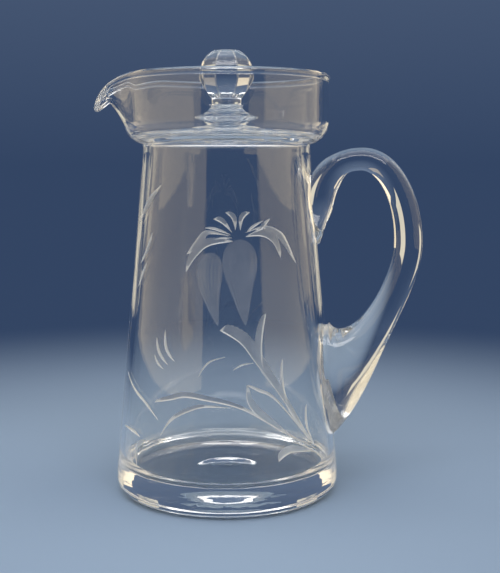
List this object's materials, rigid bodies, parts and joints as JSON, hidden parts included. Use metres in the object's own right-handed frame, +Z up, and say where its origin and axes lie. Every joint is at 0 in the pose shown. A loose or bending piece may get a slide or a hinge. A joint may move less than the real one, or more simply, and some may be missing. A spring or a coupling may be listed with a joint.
{
  "type": "cocktail pitcher",
  "caption": "Clear glass cocktail pitcher with a tapered body, heavy base, wide collar with a pouring spout, applied loop handle and a domed lid with a faceted knob that lifts out.",
  "frame": {"origin": "centre of the flat underside of the base, on the surface that the pitcher stands on", "axes": "+Z up along the axis of the body, +X towards the handle, -X towards the spout"},
  "size_m": [0.1623, 0.1104, 0.216],
  "materials": {
    "body_glass": "clear blown glass, fire polished, with wheel-cut matt leaf sprays",
    "handle_glass": "clear solid glass, fire polished",
    "lid_glass": "clear pressed glass, fire polished",
    "knob_glass": "clear solid glass, cut and polished facets"
  },
  "bodies": {
    "pitcher": {"pitcher_body": "body_glass", "handle": "handle_glass"},
    "lid": {"lid_plate": "lid_glass", "knob_wafer": "lid_glass", "knob": "knob_glass"}
  },
  "joints": [
    {"name": "lid_lift", "type": "slide", "parent": "pitcher", "child": "lid", "axis": [0, 0, 1], "range_m": [0, 0.06]}
  ]
}
